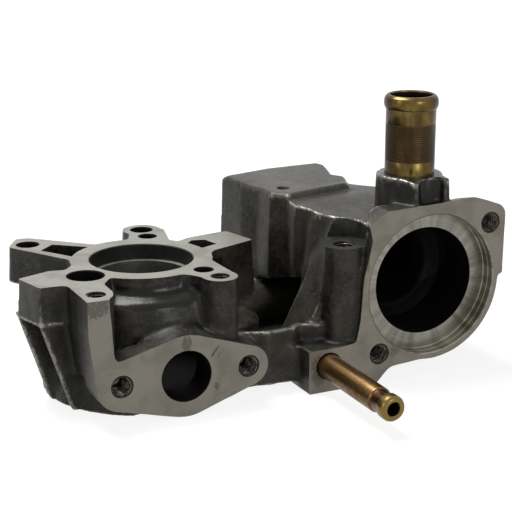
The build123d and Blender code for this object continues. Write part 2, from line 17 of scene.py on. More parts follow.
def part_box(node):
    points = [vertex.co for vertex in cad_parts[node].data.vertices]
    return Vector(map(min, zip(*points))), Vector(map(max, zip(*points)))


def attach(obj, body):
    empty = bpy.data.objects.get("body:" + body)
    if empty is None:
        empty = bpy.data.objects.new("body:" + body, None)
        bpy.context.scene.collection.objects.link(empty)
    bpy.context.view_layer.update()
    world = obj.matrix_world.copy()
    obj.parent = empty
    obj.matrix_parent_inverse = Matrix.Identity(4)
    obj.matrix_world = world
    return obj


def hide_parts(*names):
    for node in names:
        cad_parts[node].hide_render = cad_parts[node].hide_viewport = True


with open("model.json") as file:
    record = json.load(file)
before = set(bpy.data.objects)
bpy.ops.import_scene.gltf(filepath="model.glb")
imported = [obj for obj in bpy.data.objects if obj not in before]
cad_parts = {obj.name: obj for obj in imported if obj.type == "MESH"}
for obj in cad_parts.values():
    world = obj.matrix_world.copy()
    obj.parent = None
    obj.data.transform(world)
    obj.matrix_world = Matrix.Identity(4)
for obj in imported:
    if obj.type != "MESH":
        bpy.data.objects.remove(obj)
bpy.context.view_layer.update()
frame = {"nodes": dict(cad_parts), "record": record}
MM = 0.001
mounts = {mount["name"]: mount for mount in frame["record"]["mounts"]}
casting_low, casting_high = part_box("housing_casting")
print("casting, mm:", [round(side / MM, 2) for side in casting_high - casting_low])

# %% [markdown]
# The frame's record says where each bore and each face lies. Everything below takes its places from
# there, in millimetres, so that the dressed surfaces fit the solids. The pump face is at height 0,
# round the pump bore's axis.


# %% Places and sizes from the frame
def place_of(name):
    """Place of a mount, in millimetres."""
    return [value / MM for value in mounts[name]["pos_m"]]


def radius_of(name):
    """Radius of a mount's bore, in millimetres."""
    return mounts[name]["dims"]["r_mm"]


front_y, base_z = place_of("port_face")[1], place_of("base_face")[2]
port_z = place_of("outlet_port")[2]
chamber_x, _, chamber_z = place_of("chamber_counterbore")
spigot_x, spigot_y, _ = place_of("spigot_outside")
pipe_x, _, pipe_z = place_of("pipe_outside")
sensor_x, sensor_y, _ = place_of("sensor_hole")
pump_r, port_r = radius_of("pump_bore"), radius_of("outlet_port")
counterbore_r = radius_of("chamber_counterbore")
UP, TO_FRONT = (0, 0, 1), (0, -1, 0)
print("front face at y", round(front_y, 2), "and base at z", round(base_z, 2))

# %% [markdown]
# The camera stands where the photographer stood. Sharp corners of the casting were matched with the
# photograph to find it: about half a metre away, a long lens, looking down a little from the front
# left. A long lens keeps the two round bores close to true circles.

# %% Camera
lens_length, look_down, look_round = 102.0, 16.20, -25.41
portrait = bpy.data.cameras.new("portrait")
portrait.lens = lens_length
portrait.clip_start = 0.01
camera = bpy.data.objects.new("portrait", portrait)
camera.location = (-0.18453, -0.48843, 0.15194)
camera.rotation_euler = (math.radians(90 - look_down), 0, math.radians(look_round))
bpy.context.scene.collection.objects.link(camera)
bpy.context.scene.camera = camera
bpy.context.scene.view_settings.view_transform = "Standard"
print("camera distance, m:", round(camera.location.length, 3))

# %% [markdown]
# Shader maths reads best as plain expressions. This class wraps one output of a node: adding or
# multiplying it adds the Math node that does so, and the reflected forms make 1 - mask work. Vectors
# have a Vector Math node of their own. Every other node comes from one method, which sets the node's
# own settings first and then the values or links of its sockets. A socket holds one number or colour
# unless something really changes over the surface.


# %% A wire between nodes
class Wire:
    """One output of a node, which can be worked with as a number can."""

    def __init__(self, tree, socket=None):
        self.tree = tree
        self.socket = socket

    def node(self, kind, sockets, out=0, **settings):
        """Adds a node, with its settings first and its sockets after them."""
        made = self.tree.nodes.new(kind)
        for name, value in settings.items():
            setattr(made, name, value)
        for name, value in sockets.items():
            if isinstance(value, Wire):
                self.tree.links.new(value.socket, made.inputs[name])
            else:
                made.inputs[name].default_value = value
        return Wire(self.tree, made.outputs[out]) if len(made.outputs) else self

    def math(self, operation, *values):
        return self.node("ShaderNodeMath", dict(enumerate(values)), operation=operation)

    def vector(self, operation, *values, out=0):
        return self.node("ShaderNodeVectorMath", dict(enumerate(values)), out=out, operation=operation)

    def __add__(self, other):
        return self.math("ADD", self, other)

    def __sub__(self, other):
        return self.math("SUBTRACT", self, other)

    def __rsub__(self, other):
        return self.math("SUBTRACT", other, self)

    def __mul__(self, other):
        return self.math("MULTIPLY", self, other)

    __radd__ = __add__
    __rmul__ = __mul__


# %% [markdown]
# Each finish works in millimetres, so that the size of a grain in the nodes is its size on the metal.
# A few helpers cover most needs: a grain of noise, a soft step that turns noise into patches, a blend
# of two colours, and a spot for what sits in one place only, such as a scratch. The last helper joins
# everything to one metal shader.


# %% Helpers for finishes
def start_finish(name):
    """New material, with the place on the object in millimetres."""
    material = bpy.data.materials.new(name)
    material.use_nodes = True
    material.node_tree.nodes.clear()
    blank = Wire(material.node_tree)
    place = blank.node("ShaderNodeTexCoord", {}, out="Object")
    return material, blank.node("ShaderNodeVectorMath", {0: place, "Scale": 1 / MM}, operation="SCALE")


def grain(place, size, detail=2.0, rough=0.5, twist=0.0, stretch=(1, 1, 1)):
    """Noise from 0 to 1 whose patches are about size millimetres across."""
    stretched = place.vector("MULTIPLY", place, stretch)
    return place.node("ShaderNodeTexNoise", {
        "Vector": stretched, "Scale": 1 / size, "Detail": detail, "Roughness": rough, "Distortion": twist,
    })


def soft_step(value, low, high):
    """0 below low, 1 above high, and a smooth change between them."""
    sockets = {"Value": value, "From Min": low, "From Max": high}
    return value.node("ShaderNodeMapRange", sockets, interpolation_type="SMOOTHSTEP")


def blend(first, second, amount):
    """Colour that goes from the first to the second as amount goes from 0 to 1."""
    return amount.node("ShaderNodeMix", {0: amount, 6: first, 7: second}, out=2, data_type="RGBA")


def spot(place, centre, half_sizes, turn=0.0, core=0.3):
    """1 round a point on the object, fading to 0 at the edge of a turned ellipse, in millimetres."""
    off = place.vector("SUBTRACT", place, centre)
    sockets = {"Vector": off, "Angle": math.radians(turn)}
    turned = off.node("ShaderNodeVectorRotate", sockets, rotation_type="Y_AXIS")
    shares = turned.vector("DIVIDE", turned, half_sizes)
    return 1 - soft_step(shares.vector("LENGTH", shares, out="Value"), core, 1.0)


def level_of(place, axis):
    """One coordinate of the place, in millimetres."""
    return place.node("ShaderNodeSeparateXYZ", {"Vector": place}, out=axis)


def layer_of(place, name):
    """A value from 0 to 1 that the mesh carries at its points."""
    return place.node("ShaderNodeAttribute", {}, out="Fac", attribute_name=name)


def metal(material, place, colour, roughness, metallic, height=None, specular=0.5):
    """Metal shader, with fine relief where a height in millimetres is given."""
    sockets = {
        "Base Color": colour, "Roughness": roughness, "Metallic": metallic, "Specular IOR Level": specular,
    }
    if height is not None:
        relief = {"Height": height, "Strength": 1.0, "Distance": MM}
        sockets["Normal"] = place.node("ShaderNodeBump", relief)
    place.node("ShaderNodeOutputMaterial", {"Surface": place.node("ShaderNodeBsdfPrincipled", sockets)})
    return material


# %% [markdown]
# As-cast aluminium takes the skin of its sand mould: dull, dark grey from the mould's coating and from
# years of heat. A photograph shows three scales on it, clouds of a few centimetres, blotches of a few
# millimetres and a fine grit. Each is one noise. Hands and tools have rubbed the outer edges bright,
# and that pale edge also stands in as a painted highlight. The inner corners are painted near black,
# as shade. The mesh will say where: the edge layer is 1 on an edge, hollow is 1 in a corner, and sandy
# is 0 where the bowl came out smooth and glossy.

# %% As-cast finish
blotch_tone, grit_tone = (0.092, 0.084, 0.064, 1), (0.170, 0.162, 0.134, 1)
# A near-black tone for the painted shade in inner corners, and a pale tone for worn and highlighted edges.
painted_shade_tone, rubbed_and_highlight_tone = (0.004, 0.004, 0.0035, 1), (0.42, 0.41, 0.37, 1)


def cast_finish(name, dark, pale):
    material, place = start_finish(name)
    wear, hollow, sandy = (layer_of(place, layer) for layer in ("wear", "hollow", "sandy"))
    clouds = soft_step(grain(place, 20, 3, 0.55, 0.3), 0.36, 0.66)
    blotches = soft_step(grain(place, 3.2, 4, 0.62, 0.8), 0.44, 0.68)
    sand = grain(place, 0.75, 2, 0.6)
    grit = soft_step(grain(place, 0.8, 3, 0.65), 0.50, 0.66)
    skin = blend(dark, pale, clouds * (0.20 + 0.80 * sandy))
    skin = blend(skin, blotch_tone, blotches * (0.04 + 0.34 * sandy))
    skin = blend(skin, grit_tone, grit * (0.01 + 0.17 * sandy))
    # Inner corners and pockets painted near black: painted shade.
    skin = blend(skin, painted_shade_tone, hollow * 0.72)
    # Outer edges painted paler: rubbing wear and a painted highlight.
    rubbed_and_highlight = wear * soft_step(grain(place, 2.2, 4, 0.72), 0.36, 0.56)
    skin = blend(skin, rubbed_and_highlight_tone, rubbed_and_highlight * (0.40 + 0.30 * sandy))
    roughness = 0.18 + 0.10 * sand + 0.14 * sandy - 0.04 * wear
    height = (0.020 + 0.060 * sandy) * sand + 0.09 * grain(place, 2.4, 3, 0.55)
    return metal(material, place, skin, roughness, 0.16 + 0.55 * rubbed_and_highlight, height, specular=0.20)


cast_skin = cast_finish("cast_skin", (0.014, 0.0135, 0.0115, 1), (0.050, 0.0465, 0.0370, 1))
print("finish:", cast_skin.name)

# %% [markdown]
# A face mill leaves the pump face and the two front flanges nearly flat, with faint sweeping arcs and
# a pale satin sheen. Dirt and rubbing add darker smudges and fine scratches. The front face has a few
# marks of its own: two patches where the cutter left some cast skin, two brown scratches beside the
# port, and stains. They are listed one by one, and a ragged noise breaks up their edges.

# %% Milled finish
scratch_tone, mark_thickness = (0.55, 0.54, 0.50, 1), 3


def milled_finish(name, pale, dark, marks):
    """Milled face; each mark is ((x, z), half sizes, turn in degrees, colour, strength)."""
    material, place = start_finish(name)
    smudges = soft_step(grain(place, 15, 4, 0.6, 0.4), 0.40, 0.68)
    stains = soft_step(grain(place, 3.2, 4, 0.65, 1.0), 0.55, 0.75)
    sweep = grain(place, 6.0, 2, 0.5, 0.0, (0.15, 9, 9))
    scratch = soft_step(grain(place, 1.6, 3, 0.7, 0.3, (0.35, 5, 1.2)), 0.60, 0.72)
    colour = blend(pale, dark, smudges * 0.65)
    colour = blend(colour, dark, stains * 0.40)
    colour = blend(colour, scratch_tone, scratch * 0.08)
    height = 0.012 * sweep + 0.010 * grain(place, 0.6, 2) - 0.012 * scratch
    ragged = soft_step(grain(place, 1.1, 4, 0.7), 0.34, 0.66)
    for (mark_x, mark_z), (half_x, half_z), turn, stain, strength in marks:
        whole = spot(place, (mark_x, front_y, mark_z), (half_x, mark_thickness, half_z), turn)
        left = soft_step(whole * (0.30 + 0.70 * ragged), 0.22, 0.50) * strength
        colour = blend(colour, stain, left)
        height = height + 0.16 * ragged * left
    return metal(material, place, colour, 0.44 + 0.10 * smudges + 0.06 * sweep, 0.35, height)


brown, missed_skin, dirt = (0.070, 0.042, 0.020, 1), (0.085, 0.080, 0.068, 1), (0.085, 0.078, 0.060, 1)
front_marks = [
    ((-33.2, -1.4), (7.5, 7.2), 0, missed_skin, 0.75),
    ((0.2, -20.2), (3.0, 4.4), 0, missed_skin, 0.7),
    ((10.8, -24.9), (0.55, 4.2), -38, brown, 0.85),
    ((12.4, -26.4), (0.4, 2.0), -30, brown, 0.6),
    ((11.5, -37.8), (1.6, 2.4), 20, brown, 0.6),
    ((-24.0, -43.5), (3.0, 1.6), 20, brown, 0.4),
    ((53.0, -39.0), (5.5, 9.0), 0, dirt, 0.7),
    ((85.0, -36.0), (4.0, 3.0), 30, dirt, 0.6),
    ((72.0, 2.0), (2.2, 9.0), 10, dirt, 0.5),
]
milled_top = milled_finish("milled_top", (0.275, 0.268, 0.236, 1), (0.150, 0.144, 0.121, 1), [])
milled_front = milled_finish("milled_front", (0.250, 0.233, 0.190, 1), (0.160, 0.148, 0.115, 1), front_marks)
print("finishes:", milled_top.name, milled_front.name)

# %% [markdown]
# Bores are turned. In a narrow bore the tool's rings are so fine that they show only as a sheen. The
# thermostat's seat is wide enough to show them, and streaks that fan out from its axis are a painted
# reflection. Deep inside, every surface is painted near black as shade, and one cast wall far in gets
# a painted patch of light. The upper wall of the pump bore and the sensor recess get painted shade
# too. The threads are painted just as dark, with crests that the screws rubbed, painted paler as wear
# and highlight.


# %% Turned finishes
def turned_finish(name, pale, dark, roughness, metallic, specular=0.5):
    material, place = start_finish(name)
    patches = soft_step(grain(place, 6, 3, 0.6, 0.5), 0.35, 0.70)
    colour = blend(pale, dark, patches)
    height = 0.010 * grain(place, 0.7, 2)
    return metal(material, place, colour, roughness + 0.10 * patches, metallic, height, specular)


ring_tone, seat_stain = (0.42, 0.41, 0.36, 1), (0.06, 0.05, 0.035, 1)


def seat_finish(name, pale, dark):
    """Turned seat: streaks that fan out from the chamber's axis as a painted reflection, and rings round it.
    """
    material, place = start_finish(name)
    off = place.vector("SUBTRACT", place, (chamber_x, front_y, chamber_z))
    flat = off.vector("MULTIPLY", off, (1, 0, 1))
    away = flat.vector("LENGTH", flat, out="Value")
    fan = flat.vector("NORMALIZE", flat)
    # Fan streaks round the axis: a painted reflection of the turning marks.
    streaks = soft_step(grain(fan, 0.16, 3, 0.65), 0.38, 0.64)
    broad = soft_step(grain(fan, 0.9, 2, 0.5), 0.35, 0.65)
    rings = grain(away.node("ShaderNodeCombineXYZ", {"X": away}), 0.7, 2, 0.6)
    colour = blend(pale, dark, streaks * 0.55 + broad * 0.45)
    colour = blend(colour, ring_tone, soft_step(rings, 0.52, 0.66) * 0.35)
    colour = blend(colour, seat_stain, soft_step(grain(place, 2.4, 4, 0.65, 1.0), 0.58, 0.74) * 0.5)
    return metal(material, place, colour, 0.28 + 0.10 * streaks, 0.7, 0.020 * rings + 0.008 * streaks)


def deep_finish(name, lit_place, lit_radius):
    """Inside painted near black as shade, with a painted patch of light on one cast wall far in."""
    material, place = start_finish(name)
    # A painted patch of light on one cast wall far in the chamber.
    painted_light = spot(place, lit_place, (lit_radius,) * 3, 0, 0.93) * soft_step(level_of(place, "X"), 102, 122)
    colour = blend((0.003, 0.003, 0.0027, 1), (0.022, 0.022, 0.020, 1), painted_light)
    return metal(material, place, colour, 0.62, 0.05, 0.02 * grain(place, 0.9, 2), 0.08)


def thread_finish():
    """Thread painted near black as shade, whose crests the screws rubbed, painted paler as wear and
    highlight.
    """
    material, place = start_finish("thread_metal")
    crest = soft_step(layer_of(place, "crest"), 0.55, 0.95)
    rubbed_and_highlight = crest * soft_step(grain(place, 1.6, 3, 0.6), 0.34, 0.60)
    # Near-black painted shade, with crests painted paler as wear and painted highlight.
    colour = blend((0.012, 0.010, 0.0075, 1), (0.30, 0.27, 0.21, 1), rubbed_and_highlight * 0.75)
    roughness = 0.34 + 0.06 * grain(place, 1.0, 2)
    return metal(material, place, colour, roughness, 0.20 + 0.5 * rubbed_and_highlight, specular=0.20)


turned_seat = seat_finish("turned_seat", (0.300, 0.290, 0.245, 1), (0.140, 0.132, 0.106, 1))
rim_wall = seat_finish("rim_wall", (0.360, 0.345, 0.285, 1), (0.150, 0.140, 0.108, 1))
pump_ledge = turned_finish("pump_ledge", (0.33, 0.32, 0.285, 1), (0.20, 0.195, 0.165, 1), 0.46, 0.3)
# Near-black painted shade for the pump bore's upper wall, the sensor recess and the dimple.
bore_wall = turned_finish("bore_wall", (0.030, 0.030, 0.027, 1), (0.014, 0.014, 0.012, 1), 0.42, 0.4, 0.25)
lower_wall = turned_finish("lower_wall", (0.150, 0.150, 0.140, 1), (0.085, 0.085, 0.078, 1), 0.40, 0.6)
# Near-black painted shade for every inside, with a painted patch of light on a wall far in the chamber.
inside_dark = deep_finish("inside_dark", (111.5, -13.9, -9.5), 12.5)
thread_metal = thread_finish()
print("turned finishes:", turned_seat.name, rim_wall.name, pump_ledge.name, bore_wall.name)

# %% [markdown]
# Now the casting itself. The foundry makes it larger wherever it will be machined, and the rest keeps
# soft corners: round where metal meets air, with a fillet where two walls meet. Here the CAD mesh gets
# its machining stock back, its holes are plugged, and a voxel remesh turns it into an even skin that
# can be smoothed like clay. The machining comes after that, with sharp cutters.


# %% Helpers for meshes
def lathe(name, outline, centre, axis, steps=96):
    """Solid turned from (radius, height) points round an axis through a centre, in millimetres."""
    mesh = bmesh.new()
    along, middle = Vector(axis), Vector(centre)
    side = along.orthogonal().normalized()
    ring = [mesh.verts.new((middle + side * r + along * h) * MM) for r, h in outline]
    edges = [mesh.edges.new(pair) for pair in zip(ring, ring[1:])]
    if outline[0][0] > 0:
        edges.append(mesh.edges.new((ring[-1], ring[0])))
    bmesh.ops.spin(mesh, geom=ring + edges, cent=middle * MM, axis=along, angle=math.tau, steps=steps)
    bmesh.ops.remove_doubles(mesh, verts=mesh.verts, dist=1e-6)
    bmesh.ops.recalc_face_normals(mesh, faces=mesh.faces)
    return keep(name, mesh)


def keep(name, mesh):
    """Object in the scene from a bmesh."""
    data = bpy.data.meshes.new(name)
    mesh.to_mesh(data)
    mesh.free()
    made = bpy.data.objects.new(name, data)
    bpy.context.scene.collection.objects.link(made)
    return made


def block(name, low, high):
    """Box cutter between two corners, in millimetres."""
    mesh = bmesh.new()
    bmesh.ops.create_cube(mesh, size=1.0)
    for corner in mesh.verts:
        corner.co = [(low[i] if corner.co[i] < 0 else high[i]) * MM for i in range(3)]
    return keep(name, mesh)


def prism(name, outline, low, high):
    """Upright solid over an outline of (x, y) points, in millimetres."""
    mesh = bmesh.new()
    floor_face = mesh.faces.new([mesh.verts.new((x * MM, y * MM, low * MM)) for x, y in outline])
    grown = bmesh.ops.extrude_face_region(mesh, geom=[floor_face])["geom"]
    top = [corner for corner in grown if isinstance(corner, bmesh.types.BMVert)]
    bmesh.ops.translate(mesh, verts=top, vec=(0, 0, (high - low) * MM))
    bmesh.ops.triangulate(mesh, faces=mesh.faces)
    bmesh.ops.recalc_face_normals(mesh, faces=mesh.faces)
    return keep(name, mesh)


def joined(name, pieces):
    """One object from several that don't touch each other."""
    mesh = bmesh.new()
    for piece in pieces:
        mesh.from_mesh(piece.data)
        bpy.data.objects.remove(piece)
    return keep(name, mesh)


def triangles_of(mesh):
    """How many triangles a mesh has."""
    return sum(len(face.vertices) - 2 for face in mesh.polygons)


def settle(piece):
    """Applies the modifiers of a piece and returns how many triangles it has then."""
    shown = piece.evaluated_get(bpy.context.evaluated_depsgraph_get())
    mesh = bpy.data.meshes.new_from_object(shown)
    piece.modifiers.clear()
    piece.data = mesh
    return triangles_of(mesh)


# %% Machining stock
stock, sensor_stock, sensor_top = 2.0, 1.5, 5.5
pump_side_end, anywhere = 50.0, 1000.0
rough = bmesh.new()
rough.from_mesh(frame["nodes"]["housing_casting"].data)
bmesh.ops.remove_doubles(rough, verts=rough.verts, dist=1e-6)
rough.normal_update()
stock_places = (
    (2, 0.0, 1, stock, pump_side_end),
    (1, front_y, -1, stock, anywhere),
    (2, sensor_top, 1, sensor_stock, anywhere),
)
for axis, level, way, thickness, limit in stock_places:
    faces = [
        face for face in rough.faces
        if abs(face.calc_center_median()[axis] / MM - level) < 0.01 and face.normal[axis] * way > 0.99
        and face.calc_center_median().x / MM < limit
    ]
    grown = bmesh.ops.extrude_face_region(rough, geom=faces)["geom"]
    bmesh.ops.delete(rough, geom=faces, context="FACES")
    lift = Vector((0, 0, 0))
    lift[axis] = way * thickness * MM
    bmesh.ops.translate(rough, verts=[v for v in grown if isinstance(v, bmesh.types.BMVert)], vec=lift)
print("faces of the rough casting:", len(rough.faces))
casting = keep("cast_housing", rough)

# %% Holes to plug and cut again
tapped_holes = ("front_left_screw", "front_right_screw")
plain_holes = ("rear_left_screw", "rear_right_screw", "rear_dowel_hole", "front_dowel_hole", "coolant_hole")
flange_hole_r, flange_plug_r, sensor_hole_r = 4.05, 4.45, 4.0
pitch = mounts["port_screws"]["dims"]["spacing_x_mm"] / 2
flange_holes = [(-pitch, port_z), (pitch, port_z)]
flange_holes += [place_of(name)[::2] for name in ("chamber_ear_screw", "chamber_foot_screw")]
ring_edge, pocket_floor = 26.2, -12.0


def pocket(outline, first_angle, last_angle):
    """Pocket beside the pump ring: its outer corners, and an arc along the ring."""
    turns = np.radians(np.linspace(first_angle, last_angle, 7))
    return list(outline) + [(ring_edge * math.cos(turn), ring_edge * math.sin(turn)) for turn in turns]


pockets = [
    pocket([(-31.0, 25.7), (-24.4, 32.0)], 119.5, 150.3),
    pocket([(26.6, 14.6), (31.6, 13.4), (33.4, 5.8)], 6.5, 26.0),
]
print("flange holes:", len(flange_holes), "and pockets:", len(pockets))

# %% Plugs
plug_list = []


def plug(name, radius, centre, axis, low, high):
    """Rod that fills a hole until the skin is made."""
    plug_list.append(lathe(name, [(0, low), (radius, low), (radius, high), (0, high)], centre, axis, 32))


plug("plug_pump", pump_r + 0.6, (0, 0, 0), UP, -12.0, stock)
plug("plug_port", port_r + 0.6, (0, front_y, port_z), TO_FRONT, -12.0, stock)
plug("plug_chamber", counterbore_r + 0.5, (chamber_x, front_y, chamber_z), TO_FRONT, -29.0, stock)
for name in tapped_holes + plain_holes:
    half = mounts[name]["dims"]["length_mm"] / 2
    plug(name, radius_of(name) + 0.4, place_of(name), UP, -half, half + stock)
for x, z in flange_holes:
    plug("plug_flange", flange_plug_r, (x, front_y, z), TO_FRONT, -13.0, stock)
plug("plug_spigot", 10.0, (spigot_x, spigot_y, 0), UP, 18.0, 28.5)
plug("plug_sensor", 4.4, (sensor_x, sensor_y, sensor_top), UP, -24.4, sensor_stock)
plug("plug_pipe", 5.7, (pipe_x, front_y, pipe_z), TO_FRONT, -14.4, stock)
for corners in pockets:
    middle = np.mean(corners, axis=0)
    wider = [tuple(middle + (np.array(corner) - middle) * 1.08) for corner in corners]
    plug_list.append(prism("plug_pocket", wider, pocket_floor, stock))
print("plugs:", len(plug_list))

# %% [markdown]
# A voxel remesh only keeps the outside, so the plugs simply lie inside the casting and melt into it.
# Then comes the clay work, on plain arrays of points. The first passes move points only outward, which
# fills inner corners and leaves outer ones alone. A few even passes take the sharpness off the rest.
# The bowl and the hood over the port get many more of both, because the real ones flow into each
# other, and the deck, the block and the spigot's boss get less.

# %% Remesh the casting
mesh = bmesh.new()
mesh.from_mesh(casting.data)
for piece in plug_list:
    mesh.from_mesh(piece.data)
    bpy.data.objects.remove(piece)
mesh.to_mesh(casting.data)
mesh.free()
voxel = 0.62
skin = casting.modifiers.new("skin", "REMESH")
skin.mode = "VOXEL"
skin.voxel_size = voxel * MM
print("triangles after the remesh:", settle(casting))


# %% Meshes as arrays
def points_of(mesh):
    """All points of a mesh as an array, in millimetres."""
    flat = np.empty(len(mesh.vertices) * 3)
    mesh.vertices.foreach_get("co", flat)
    return flat.reshape(-1, 3) / MM


def move_points(mesh, points):
    """Puts the points of a mesh where an array says, in millimetres."""
    mesh.vertices.foreach_set("co", (points * MM).ravel())
    mesh.update()


def normals_of(mesh):
    """The normal at each point of a mesh."""
    flat = np.empty(len(mesh.vertices) * 3)
    mesh.vertex_normals.foreach_get("vector", flat)
    return flat.reshape(-1, 3)


def edges_of(mesh):
    """The two points of each edge, and how many edges meet at each point."""
    ends = np.empty(len(mesh.edges) * 2, np.int32)
    mesh.edges.foreach_get("vertices", ends)
    return ends.reshape(-1, 2), np.bincount(ends, minlength=len(mesh.vertices))


def neighbour_mean(values, ends, count):
    """Mean of what the neighbours of each point have, column by column."""
    total = np.zeros_like(values)
    for column in range(values.shape[1]):
        total[:, column] = (
            np.bincount(ends[:, 0], values[ends[:, 1], column], len(values))
            + np.bincount(ends[:, 1], values[ends[:, 0], column], len(values))
        )
    return total / count[:, None]


def evened(values, ends, count, passes):
    """Values at the points, evened out with their neighbours."""
    column = values[:, None]
    for _ in range(passes):
        column = (column + neighbour_mean(column, ends, count)) / 2
    return column[:, 0]


def inside(distance, border):
    """0 outside a limit, 1 well inside it, and a ramp over the border."""
    return np.clip(distance / border, 0, 1)


# %% Fill inner corners and round outer ones
bowl_r, bowl_inner_r, bowl_top = 33.5, 21, -2.5
hood_half, hood_top, hood_back = 17, -6, -20
crisp_x, crisp_z = 54, 7


def in_bowl(points):
    """1 on the bowl's outside and on the hood over the port, 0 elsewhere, with a soft border."""
    x, y, z = points.T
    turn_ring = np.hypot(x, y)
    bowl = inside(bowl_r - turn_ring, 2) * inside(bowl_top - z, 1.5) * (turn_ring > bowl_inner_r)
    hood = inside(hood_half - np.abs(x), 3) * inside(hood_top - z, 2) * (y < hood_back)
    return np.maximum(bowl, hood) * inside(y - front_y - 0.2, 1.5)


def stays_crisp(points):
    """1 on the deck, the block and the boss, whose edges stay sharp, and 0 elsewhere."""
    x, _, z = points.T
    return inside(x - crisp_x, 2) * inside(z - crisp_z, 2)


def soften(mesh, fill_passes, round_passes, bowl_passes):
    """Fills inner corners, rounds every edge a little, then works the bowl and its hood soft."""
    points = points_of(mesh)
    ends, count = edges_of(mesh)
    for turn in range(fill_passes + round_passes + bowl_passes):
        step = neighbour_mean(points, ends, count) - points
        if turn >= 3:
            step *= 1 - 0.8 * stays_crisp(points)[:, None]
        if turn >= fill_passes + round_passes:
            step *= in_bowl(points)[:, None]
        elif turn < fill_passes:
            move_points(mesh, points)
            normals = normals_of(mesh)
            outward = np.einsum("ij,ij->i", step, normals)
            step = np.clip(outward, 0, None)[:, None] * normals
            if turn > fill_passes * 0.4:
                step *= in_bowl(points)[:, None]
        points += step * 0.75
    return points


passes = ((26, 2, 45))
skin_points = soften(casting.data, *passes)
print("points in the skin:", len(skin_points))

# %% [markdown]
# Sand leaves the surface slightly uneven, and at this size that is real shape, not only shine. Two
# soft noises move each point along its normal by less than a tenth of a millimetre. The two halves of
# the mould leave a parting ridge on the left arm, and the boss's rim has a shallow dip. No point may
# leave the box of the CAD casting, so the points are held inside it.
# Two measures of the same skin tell where edges are painted paler, as wear and painted highlight, and
# where corners get painted shade. Points that stand proud of a smoother copy lie on an outer edge. A
# bend that is evened out over a wide area is below 0 in a hollow.

# %% Uneven cast surface
wave_sizes = ((0.08, 7.0), (0.03, 2.6))
parting_z, parting_height = -13.7, 0.45
dip_place, dip_spread, dip_depth = (93.3, -42.3), 18, 1.1


def on_left_arm(x, y):
    """True on the side of the left arm, where the mould's parting line shows."""
    return (x < -38) & (y > -32) & (y < 4)


def uneven(mesh, points):
    """Adds the sand's waves, the parting ridge and the dip in the boss's rim."""
    move_points(mesh, points)
    normals = normals_of(mesh)
    x, y, z = points.T
    parting = inside(1.0 - np.abs(z - parting_z), 1.0) * on_left_arm(x, y)
    away = (x - dip_place[0]) ** 2 + (y - dip_place[1]) ** 2
    dip = np.exp(-away / dip_spread) * inside(z - 21, 6)
    points = points - np.outer(dip * dip_depth, UP)
    waves = np.array([
        sum(height * noise.noise(Vector(point) / size) for height, size in wave_sizes) for point in points
    ])
    return points + (waves + parting_height * parting * (1 + 4 * waves))[:, None] * normals


def bend_of(mesh, points, spread):
    """How sharply the skin bends at each point: above 0 on an outer edge, below 0 in an inner corner."""
    ends, count = edges_of(mesh)
    step = points - neighbour_mean(points, ends, count)
    bend = np.einsum("ij,ij->i", step, normals_of(mesh))
    return evened(bend, ends, count, spread) / voxel


def proud_of(mesh, points, passes):
    """How far each point stands proud of a smoother copy of the skin, in voxels."""
    ends, count = edges_of(mesh)
    smooth = points.copy()
    for _ in range(passes):
        smooth += (neighbour_mean(smooth, ends, count) - smooth) * 0.75
    proud = np.einsum("ij,ij->i", points - smooth, normals_of(mesh))
    return evened(proud, ends, count, 2) / voxel


edge_proud = proud_of(casting.data, skin_points, 5)
skin_points = uneven(casting.data, skin_points)
wide_bend = bend_of(casting.data, skin_points, 40)
proud_edge, hollow_bend = 0.165, -0.004
print("points on edges, in hollows:", (edge_proud > proud_edge).sum(), (wide_bend < hollow_bend).sum())

# %% Hold the skin in its box and thin it
triangle_goal, hair = 150000, 0.001
dense_points = kdtree.KDTree(len(skin_points))
for index, point in enumerate(skin_points):
    dense_points.insert(point, index)
dense_points.balance()
grown_low = np.array(casting_low) / MM - (0, stock, 0)
grown_high = np.array(casting_high) / MM
move_points(casting.data, np.clip(skin_points, grown_low, grown_high))
thin = casting.modifiers.new("thin", "DECIMATE")
thin.ratio = min(1.0, triangle_goal / triangles_of(casting.data))
thin.use_collapse_triangulate = True
print("triangles after thinning:", settle(casting))
move_points(casting.data, np.clip(points_of(casting.data), grown_low + hair, grown_high - hair))

# %% [markdown]
# The machinist's turn. Every cutter is a closed solid: slabs for the face mill, turned shapes for the
# boring bar, and a rod with a helical ridge for each tap. The rod is a grid wrapped round an axis,
# whose radius rises and falls along the helix. Taking the rod away leaves the thread behind.


